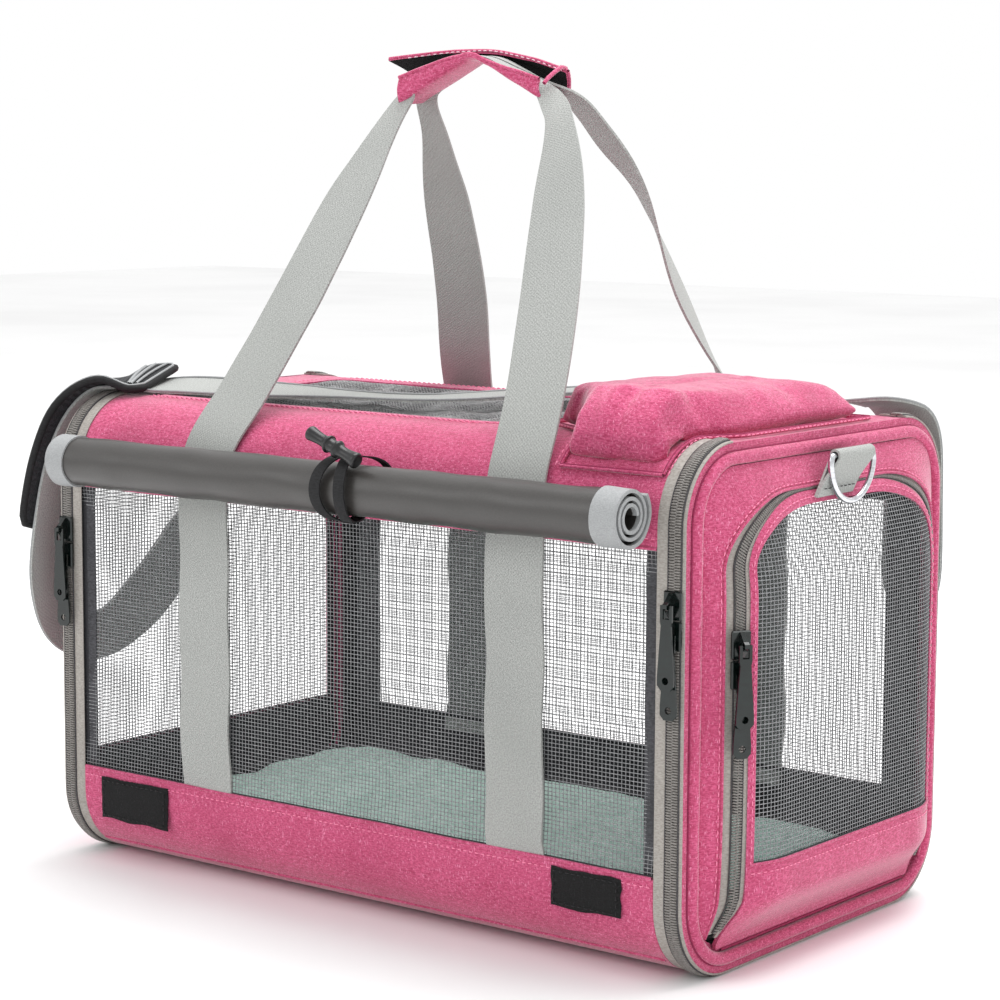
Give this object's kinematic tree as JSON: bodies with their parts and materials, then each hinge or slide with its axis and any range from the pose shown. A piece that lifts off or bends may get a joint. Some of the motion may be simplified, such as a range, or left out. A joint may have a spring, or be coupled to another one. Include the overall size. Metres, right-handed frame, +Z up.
{
  "type": "pet carrier bag",
  "caption": "Soft-sided pet carrier with net windows, zip-open ends, a drop-down end door, a rolled front cover, a top pocket, twin webbing handles and a shoulder strap.",
  "frame": {"origin": "centre of the flat bottom face, on the ground", "axes": "+X along the length towards the end with the door, -Y the front with the rolled cover, +Z up"},
  "size_m": [0.5046, 0.3204, 0.4845],
  "materials": {
    "pink_fabric": "heathered polyester, matt",
    "mesh_net": "knotted net",
    "webbing": "ribbed woven webbing",
    "zip_tape": "woven tape with coil",
    "cover_fabric": "coated fabric, satin",
    "black_trim": "hook and loop",
    "black_plastic": "moulded",
    "pad_fabric": "ribbed padded fabric",
    "fleece": "short pile",
    "board": "stiffener sheet",
    "plated_metal": "plated wire",
    "zip_metal": "dark plated die casting"
  },
  "bodies": {
    "bag": {"bottom_shell": "pink_fabric", "top_shell": "pink_fabric", "base_board": "board", "fleece_mat": "fleece", "front_mesh": "mesh_net", "rear_mesh": "mesh_net", "treat_pocket": "pink_fabric", "front_cover_roll": "cover_fabric", "elastic_loop": "black_trim", "hook_patch_left": "black_trim", "hook_patch_right": "black_trim", "front_handle": "webbing", "rear_handle": "webbing", "grip_wrap": "pink_fabric", "top_flap_mesh": "mesh_net", "strap_webbing": "webbing", "shoulder_pad": "pad_fabric", "hoop_left": "plated_metal", "hoop_right": "plated_metal", "zip_tape_left_inner": "zip_tape", "zip_tape_right_inner": "zip_tape"},
    "end_right": {"end_panel_right": "pink_fabric", "end_piping_right": "pink_fabric", "zip_tape_right_outer": "zip_tape", "ring_tab_right": "webbing", "door_zip_tape_right": "zip_tape"},
    "end_left": {"end_panel_left": "pink_fabric", "end_piping_left": "pink_fabric", "zip_tape_left_outer": "zip_tape", "ring_tab_left": "webbing", "end_window_mesh_left": "mesh_net"},
    "door_right": {"door_panel_right": "pink_fabric", "door_mesh_right": "mesh_net"},
    "ring_right": {"d_ring_right": "plated_metal"},
    "ring_left": {"d_ring_left": "plated_metal"},
    "grip_flap": {"grip_flap": "pink_fabric"},
    "toggle": {"toggle": "black_plastic"},
    "hook_right": {"strap_hook_right": "plated_metal"},
    "hook_left": {"strap_hook_left": "plated_metal"},
    "slider_top": {"top_zip_slider": "zip_metal"},
    "pull_top": {"top_zip_pull": "zip_metal"},
    "slider_end_right_upper": {"end_right_upper_slider": "zip_metal"},
    "pull_end_right_upper": {"end_right_upper_pull": "zip_metal"},
    "slider_end_right_lower": {"end_right_lower_slider": "zip_metal"},
    "pull_end_right_lower": {"end_right_lower_pull": "zip_metal"},
    "slider_end_left_upper": {"end_left_upper_slider": "zip_metal"},
    "pull_end_left_upper": {"end_left_upper_pull": "zip_metal"},
    "slider_end_left_lower": {"end_left_lower_slider": "zip_metal"},
    "pull_end_left_lower": {"end_left_lower_pull": "zip_metal"},
    "slider_door_right_upper": {"door_right_upper_slider": "zip_metal"},
    "pull_door_right_upper": {"door_right_upper_pull": "zip_metal"},
    "slider_door_right_lower": {"door_right_lower_slider": "zip_metal"},
    "pull_door_right_lower": {"door_right_lower_pull": "zip_metal"}
  },
  "joints": [
    {"name": "end_right_lift", "type": "hinge", "parent": "bag", "child": "end_right", "pos_m": [0.2265, 0, 0.2777], "axis": [0, -1, 0], "range_deg": [0, 100]},
    {"name": "end_left_lift", "type": "hinge", "parent": "bag", "child": "end_left", "pos_m": [-0.2265, 0, 0.2777], "axis": [0, 1, 0], "range_deg": [0, 100], "deforming": ["strap_webbing", "shoulder_pad"]},
    {"name": "door_right_drop", "type": "hinge", "parent": "end_right", "child": "door_right", "pos_m": [0.226, 0, 0.0156], "axis": [0, 1, 0], "range_deg": [0, 90]},
    {"name": "grip_flap_open", "type": "hinge", "parent": "bag", "child": "grip_flap", "pos_m": [0, 0.0155, 0.45], "axis": [-1, 0, 0], "range_deg": [-5, 75]},
    {"name": "ring_right_swing", "type": "hinge", "parent": "end_right", "child": "ring_right", "pos_m": [0.2436, 0.001, 0.2672], "axis": [0, -1, 0], "range_deg": [0, 120]},
    {"name": "ring_left_swing", "type": "hinge", "parent": "end_left", "child": "ring_left", "pos_m": [-0.2335, 0.002, 0.2628], "axis": [0, 1, 0], "range_deg": [0, 10]},
    {"name": "strap_hook_left_swivel", "type": "hinge", "parent": "end_left", "child": "hook_left", "pos_m": [-0.2374, 0.002, 0.2466], "axis": [0, 0, 1], "range_deg": [-12, 12]},
    {"name": "strap_hook_right_swivel", "type": "hinge", "parent": "bag", "child": "hook_right", "pos_m": [0.201, 0.142, 0.118], "axis": [0, 0, 1], "range_deg": [-40, 40]},
    {"name": "toggle_turn", "type": "hinge", "parent": "bag", "child": "toggle", "pos_m": [0.02, -0.15788, 0.26847], "axis": [0, -0.3, 0.9539], "range_deg": [-80, 80]},
    {"name": "zip_top_slide", "type": "slide", "parent": "bag", "child": "slider_top", "axis": [0, 1, 0], "range_m": [0, 0.055]},
    {"name": "pull_top_lift", "type": "hinge", "parent": "slider_top", "child": "pull_top", "pos_m": [-0.189, 0.004, 0.28222], "axis": [-1, 0, 0], "range_deg": [0, 150]},
    {"name": "slider_end_right_upper_slide", "type": "slide", "parent": "bag", "child": "slider_end_right_upper", "axis": [0, 0, 1], "range_m": [0, 0.03]},
    {"name": "pull_end_right_upper_lift", "type": "hinge", "parent": "slider_end_right_upper", "child": "pull_end_right_upper", "pos_m": [0.22005, -0.1372, 0.2], "axis": [-1, 0, 0], "range_deg": [0, 150]},
    {"name": "slider_end_right_lower_slide", "type": "slide", "parent": "bag", "child": "slider_end_right_lower", "axis": [0, 0, 1], "range_m": [-0.13, 0]},
    {"name": "pull_end_right_lower_lift", "type": "hinge", "parent": "slider_end_right_lower", "child": "pull_end_right_lower", "pos_m": [0.22005, -0.1344, 0.1844], "axis": [-1, 0, 0], "range_deg": [0, 150]},
    {"name": "slider_end_left_upper_slide", "type": "slide", "parent": "bag", "child": "slider_end_left_upper", "axis": [0, 0, 1], "range_m": [0, 0.03]},
    {"name": "pull_end_left_upper_lift", "type": "hinge", "parent": "slider_end_left_upper", "child": "pull_end_left_upper", "pos_m": [-0.22005, -0.1372, 0.2], "axis": [-1, 0, 0], "range_deg": [0, 150]},
    {"name": "slider_end_left_lower_slide", "type": "slide", "parent": "bag", "child": "slider_end_left_lower", "axis": [0, 0, 1], "range_m": [-0.13, 0]},
    {"name": "pull_end_left_lower_lift", "type": "hinge", "parent": "slider_end_left_lower", "child": "pull_end_left_lower", "pos_m": [-0.22005, -0.1344, 0.1844], "axis": [-1, 0, 0], "range_deg": [0, 150]},
    {"name": "slider_door_right_upper_slide", "type": "slide", "parent": "end_right", "child": "slider_door_right_upper", "axis": [0, 0, 1], "range_m": [0, 0.022]},
    {"name": "pull_door_right_upper_lift", "type": "hinge", "parent": "slider_door_right_upper", "child": "pull_door_right_upper", "pos_m": [0.24572, -0.10338, 0.178], "axis": [-0.5102, -0.8601, 0], "range_deg": [0, 150]},
    {"name": "slider_door_right_lower_slide", "type": "slide", "parent": "end_right", "child": "slider_door_right_lower", "axis": [0, 0, 1], "range_m": [-0.075, 0]},
    {"name": "pull_door_right_lower_lift", "type": "hinge", "parent": "slider_door_right_lower", "child": "pull_door_right_lower", "pos_m": [0.24331, -0.10195, 0.1624], "axis": [-0.5102, -0.8601, 0], "range_deg": [0, 150]}
  ],
  "couplings": [
    {"joint": "pull_end_right_lower_lift", "follows": "pull_end_right_upper_lift", "ratio": 1},
    {"joint": "pull_end_left_lower_lift", "follows": "pull_end_left_upper_lift", "ratio": 1},
    {"joint": "pull_door_right_lower_lift", "follows": "pull_door_right_upper_lift", "ratio": 1}
  ]
}
